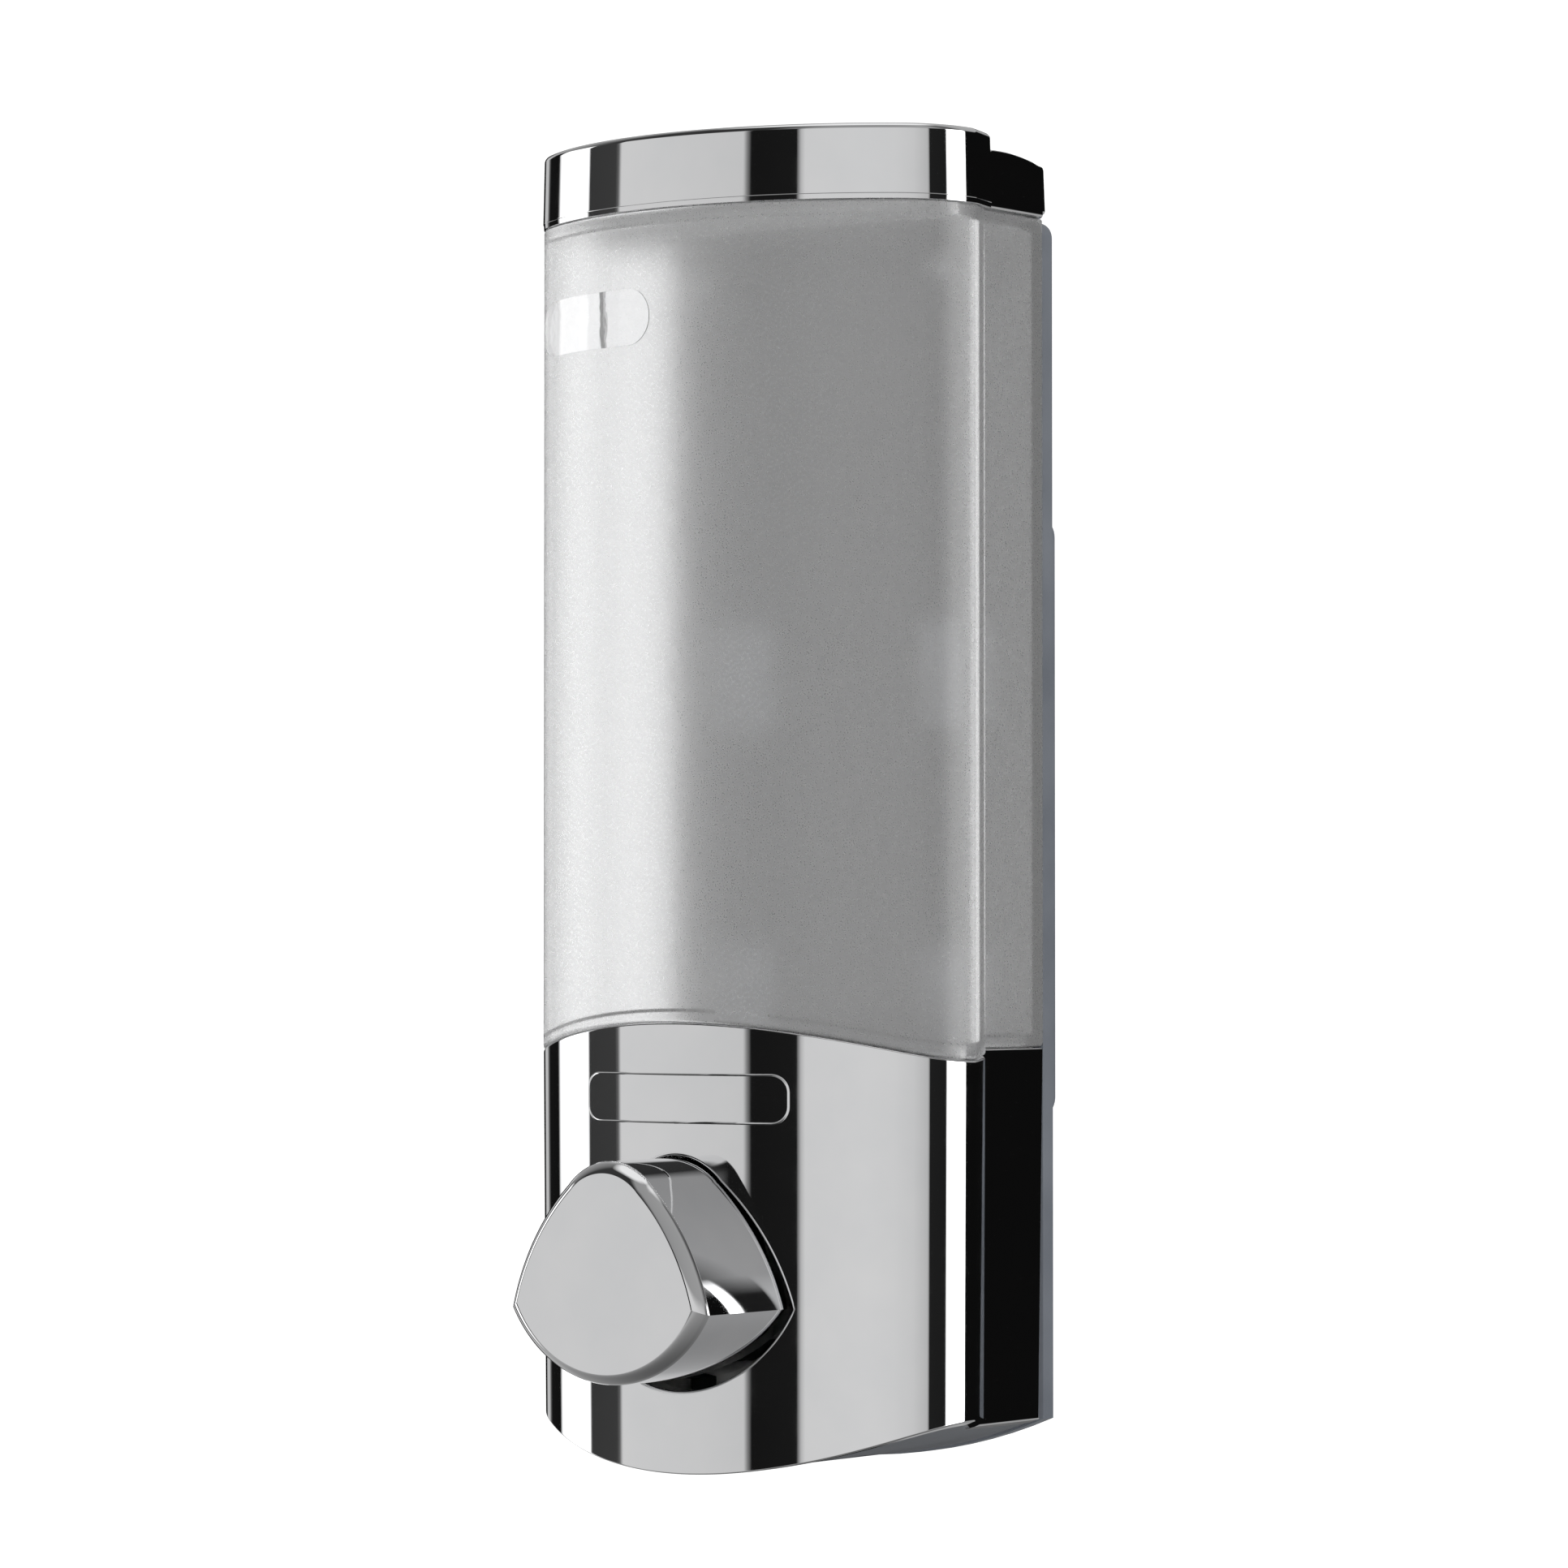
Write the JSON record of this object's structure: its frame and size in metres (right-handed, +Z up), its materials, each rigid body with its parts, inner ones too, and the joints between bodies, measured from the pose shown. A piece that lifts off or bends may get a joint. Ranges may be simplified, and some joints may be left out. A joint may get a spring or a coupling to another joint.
{
  "type": "wall mounted soap dispenser",
  "caption": "Single-chamber wall dispenser with a frosted reservoir, hinged chromed lid, chromed lower cover and a rounded three-sided push button over a piston pump.",
  "frame": {"origin": "centre of the wall bracket's back face, on the wall", "axes": "+Z up, the front with the push button faces -Y, the wall is the plane Y = 0"},
  "size_m": [0.0932, 0.0805, 0.24],
  "materials": {
    "grey_plastic": "fine satin",
    "dark_grey_plastic": "satin",
    "frosted_plastic": "frosted translucent",
    "chrome_plate": "mirror",
    "white_plastic": "smooth",
    "steel": "bright",
    "silicone": "matt",
    "foam": "matt foam tape"
  },
  "bodies": {
    "bracket": {"wall_bracket": "grey_plastic", "adhesive_pads": "foam"},
    "dispenser": {"back_plate": "grey_plastic", "reservoir": "frosted_plastic", "hinge_cap": "chrome_plate", "hinge_pin": "steel", "front_cover": "chrome_plate", "base_plate": "dark_grey_plastic", "pump_body": "white_plastic", "pump_gland": "white_plastic", "neck_o_ring": "silicone", "inlet_valve": "silicone", "outlet_seat": "white_plastic", "nozzle": "white_plastic", "pump_screws": "steel", "reservoir_screws": "steel", "cover_screws": "steel", "base_screws": "steel"},
    "lid": {"lid": "chrome_plate", "lid_seal": "silicone"},
    "button": {"push_button": "chrome_plate", "piston_rod": "steel", "piston": "white_plastic", "piston_seal": "silicone", "return_spring": "steel"},
    "outlet_ball": {"outlet_ball": "steel", "outlet_spring": "steel"}
  },
  "joints": [
    {"name": "dispenser_lift", "type": "slide", "parent": "bracket", "child": "dispenser", "axis": [0, 0, 1], "range_m": [0, 0.009]},
    {"name": "lid_hinge", "type": "hinge", "parent": "dispenser", "child": "lid", "pos_m": [0, -0.0227, 0.1181], "axis": [-1, 0, 0], "range_deg": [0, 85]},
    {"name": "button_press", "type": "slide", "parent": "dispenser", "child": "button", "axis": [0, 1, 0], "range_m": [0, 0.008], "stiffness_N_per_m": 400, "springref_m": -0.01, "deforming": ["return_spring"]},
    {"name": "outlet_ball_slide", "type": "slide", "parent": "dispenser", "child": "outlet_ball", "axis": [0, 0, -1], "range_m": [0, 0.0012], "stiffness_N_per_m": 60, "springref_m": -0.002, "deforming": ["outlet_spring"]}
  ]
}
